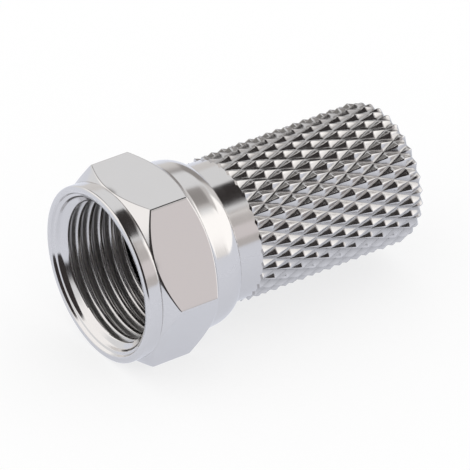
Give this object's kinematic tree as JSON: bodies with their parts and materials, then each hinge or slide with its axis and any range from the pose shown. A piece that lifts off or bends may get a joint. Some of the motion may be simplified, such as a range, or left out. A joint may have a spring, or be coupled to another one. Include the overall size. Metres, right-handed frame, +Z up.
{
  "type": "f connector",
  "caption": "Twist-on F-type coaxial cable connector with a free-turning hexagonal coupling nut and a diamond-knurled barrel.",
  "frame": {"origin": "centre of the body's contact face, on the connector's axis", "axes": "+X along the axis from the nut's mouth to the cable's end, +Z up through one of the nut's wrench flats as the connector lies"},
  "size_m": [0.0209, 0.0128, 0.011],
  "materials": {
    "nut_plating": "bright nickel plating over turned brass",
    "body_plating": "bright nickel plating over knurled brass"
  },
  "bodies": {
    "body": {"knurled_body": "body_plating"},
    "nut": {"coupling_nut": "nut_plating"}
  },
  "joints": [
    {"name": "nut_spin", "type": "hinge", "parent": "body", "child": "nut", "pos_m": [0, 0, 0], "axis": [1, 0, 0], "continuous": true}
  ]
}
